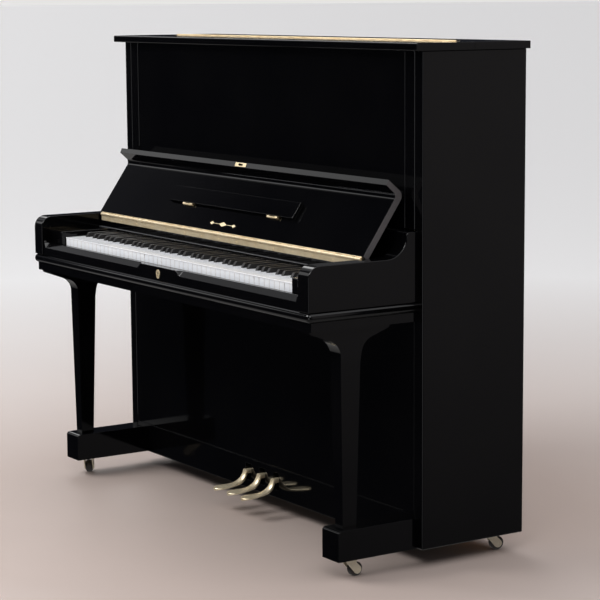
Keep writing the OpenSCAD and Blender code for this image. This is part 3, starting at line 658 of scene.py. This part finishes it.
def pedal(node):
    """A cast brass pedal: a broad flat toe, a neck that climbs steeply to the slot, and a straight tail."""
    low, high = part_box(node)
    x = (low.x + high.x) / 2
    top = [Vector((0, y, z)) * MM for y, z in ((-110, 64), (-70, 74), (-24, 52), (-10, 106))]
    under = [Vector((0, y, z)) * MM for y, z in ((-108.5, 56.5), (-66, 66), (-14, 52), (-4, 91))]
    tail = [(Vector((0, y, over)) * MM, Vector((0, y, below)) * MM)
            for y, over, below in ((6, 105.5, 91.5), (60, 102, 91), (130, 101, 93))]
    toe_y, toe_r, waist_y, waist_w, neck_w = -88 * MM, 21.8 * MM, -32 * MM, 14 * MM, 8.8 * MM
    blunt = 0.03                   # keeps the toe's tip from closing to a point
    squareness = 0.75              # 1 makes an oval section, and less a squarer one
    stations, around = 36, 28
    rings = []
    pairs = [(bezier(*top, i / stations), bezier(*under, i / stations)) for i in range(stations + 1)]
    for over, below in pairs + tail:
        middle, half = (over + below) / 2, (over - below) / 2
        y = middle.y
        if y < toe_y:
            width = toe_r * math.sqrt(max(1 - ((toe_y - y) / toe_r) ** 2, blunt))
        elif y < waist_y:
            width = toe_r + (waist_w - toe_r) * smooth_step((y - toe_y) / (waist_y - toe_y))
        else:
            width = waist_w + (neck_w - waist_w) * smooth_step((y - waist_y) / -waist_y)
        ring = []
        for across, height in circle(1, around):
            across, height = (math.copysign(abs(c) ** squareness, c) for c in (across, height))
            ring.append(middle + Vector((x + width * across, 0, 0)) + half * height)
        rings.append(ring)
    bm = bmesh.new()
    add_loft(bm, rings)
    hub_r, bore_r, hub_w, pivot_y, pivot_z = 9 * MM, 4.2 * MM, 18 * MM, 45 * MM, 94 * MM
    hub = Matrix.Translation((x - hub_w / 2, pivot_y, pivot_z)) @ Matrix.Rotation(math.radians(90), 4, "Y")
    add_lathe(bm, [(bore_r, 0), (hub_r, 0), (hub_r, hub_w), (bore_r, hub_w)], hub, 32)
    piece = add_piece(node + "_finished", bm, [PEDAL_BRASS], node)
    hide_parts(node)


def pedals():
    for name in ("left", "middle", "right"):
        pedal("pedal_" + name)
    remake("pedal_block", [STEEL], 0.5 * MM)


# ---- casters -------------------------------------------------------------

def casters():
    for end in ("front", "rear"):
        for side in ("left", "right"):
            place = f"{end}_{side}"
            remake("caster_fork_" + place, [CASTER_METAL], 0.5 * MM)
            remake("caster_wheel_" + place, [CASTER_TREAD], 0.8 * MM)


# ---- studio --------------------------------------------------------------

def studio_floor():
    """A floor that fades from a warm tone to a cool one, and that the polished case doesn't mirror."""
    bm = bmesh.new()
    reach = 400                    # metres, past the horizon of any view
    bmesh.ops.create_circle(bm, cap_ends=True, segments=96, radius=reach)
    mesh = bpy.data.meshes.new("floor")
    bm.to_mesh(mesh)
    bm.free()
    near, far, fade = (0.42, 0.345, 0.31), (0.82, 0.81, 0.80), (0.9, 5.0)
    mesh.materials.append(floor_finish(near, far, fade))
    floor = bpy.data.objects.new("floor", mesh)
    bpy.context.scene.collection.objects.link(floor)
    floor.visible_glossy = False


def studio_world():
    """What the case mirrors: a bright ceiling and floor, dark walls, and lit places on the walls."""
    world = bpy.data.worlds.new("studio")
    bpy.context.scene.world = world
    world.use_nodes = True
    tree = world.node_tree
    nodes, links = tree.nodes, tree.links
    background = nodes["Background"]
    direction = nodes.new("ShaderNodeTexCoord").outputs["Generated"]

    def lobe(towards, low, high):
        """Brightness that rises as the cosine to a direction goes from low to high."""
        dot = nodes.new("ShaderNodeVectorMath")
        dot.operation = "DOT_PRODUCT"
        links.new(direction, dot.inputs[0])
        dot.inputs[1].default_value = Vector(towards).normalized()
        fit = nodes.new("ShaderNodeMapRange")
        fit.interpolation_type = "SMOOTHSTEP"
        links.new(dot.outputs["Value"], fit.inputs["Value"])
        fit.inputs["From Min"].default_value = low
        fit.inputs["From Max"].default_value = high
        return fit.outputs["Result"]

    def add(base, amount, colour):
        """base plus amount of a colour."""
        made = nodes.new("ShaderNodeVectorMath")
        made.operation = "MULTIPLY_ADD"
        links.new(amount, made.inputs[0])
        made.inputs[1].default_value = colour
        if isinstance(base, bpy.types.NodeSocket):
            links.new(base, made.inputs[2])
        else:
            made.inputs[2].default_value = base
        return made.outputs[0]

    dark_walls = (0.012, 0.013, 0.017)
    lit_places = (
        ((0, 0, 1), 0.53, 0.68, (1.25, 1.25, 1.28)),                    # ceiling
        ((0, 0, -1), 0.28, 0.50, (0.34, 0.33, 0.32)),                   # floor
        ((0.80, 0.53, 0.30), 0.74, 1.05, (0.46, 0.43, 0.43)),           # right and behind
        ((0.45, -0.88, -0.05), 0.94, 0.99, (1.8, 1.8, 1.85)),           # front, to the right
        ((-0.84, -0.42, 0.315), 0.988, 0.996, (1.1, 1.1, 1.1)),         # left, for the lip
        ((-0.86, -0.11, 0.50), 0.988, 0.996, (0.40, 0.40, 0.41)),       # left, higher
        ((-0.92, -0.20, 0.33), 0.985, 1.0, (0.09, 0.09, 0.10)),         # left, for the fallboard
        ((-0.78, 0.25, 0.57), 0.965, 0.990, (3.5, 3.5, 3.5)),           # a window to the left
    )
    light = dark_walls
    for towards, low, high, colour in lit_places:
        light = add(light, lobe(towards, low, high), colour)
    seen = nodes.new("ShaderNodeLightPath").outputs["Is Camera Ray"]
    pick = nodes.new("ShaderNodeMix")
    pick.data_type = "RGBA"
    links.new(seen, pick.inputs["Factor"])
    links.new(light, pick.inputs[MIX_A])
    pick.inputs[MIX_B].default_value = (0.80, 0.79, 0.78, 1)
    links.new(pick.outputs[MIX_RESULT], background.inputs["Color"])


def soft_box(name, at, towards, size, power):
    """A rectangular lamp of a power in watts."""
    light = bpy.data.lights.new(name, "AREA")
    light.shape = "RECTANGLE"
    light.size, light.size_y = size
    light.energy = power
    lamp = bpy.data.objects.new(name, light)
    lamp.location = at
    lamp.rotation_euler = (Vector(towards) - Vector(at)).to_track_quat("-Z", "Y").to_euler()
    bpy.context.scene.collection.objects.link(lamp)


def camera():
    """The viewpoint: to the player's right, at about the height of the lid, with a long lens."""
    azimuth, down, roll = math.radians(56.71), math.radians(8.67), math.radians(-0.41)
    data = bpy.data.cameras.new("camera")
    data.lens = 124.37
    data.sensor_width = 36
    data.shift_x, data.shift_y = -0.00413, 0.0201
    data.clip_end = 1000
    view = bpy.data.objects.new("camera", data)
    turn = (Matrix.Rotation(azimuth, 4, "Z") @ Matrix.Rotation(math.pi / 2 - down, 4, "X")
            @ Matrix.Rotation(roll, 4, "Z"))
    place = Matrix.Translation((4.79736, -3.00793, 1.42359))
    view.matrix_world = place @ turn
    bpy.context.scene.collection.objects.link(view)
    bpy.context.scene.camera = view


camera()
studio_floor()
studio_world()
soft_box("key_light", (-1.6, -2.9, 3.2), (0, -0.2, 0.6), (2.4, 1.4), 112)
soft_box("fill_light", (3.2, -2.2, 3.4), (0, 0, 0.5), (2.2, 1.6), 46)

case_boards()
key_slip()
name_strip()
buffers()
fallboard()
music_shelf()
inlay()
hinges_and_plates()
hinge_screws()
keys()
back_frame()
soundboard_and_plate()
action()
pedals()
casters()

bpy.context.scene.view_settings.view_transform = "Standard"
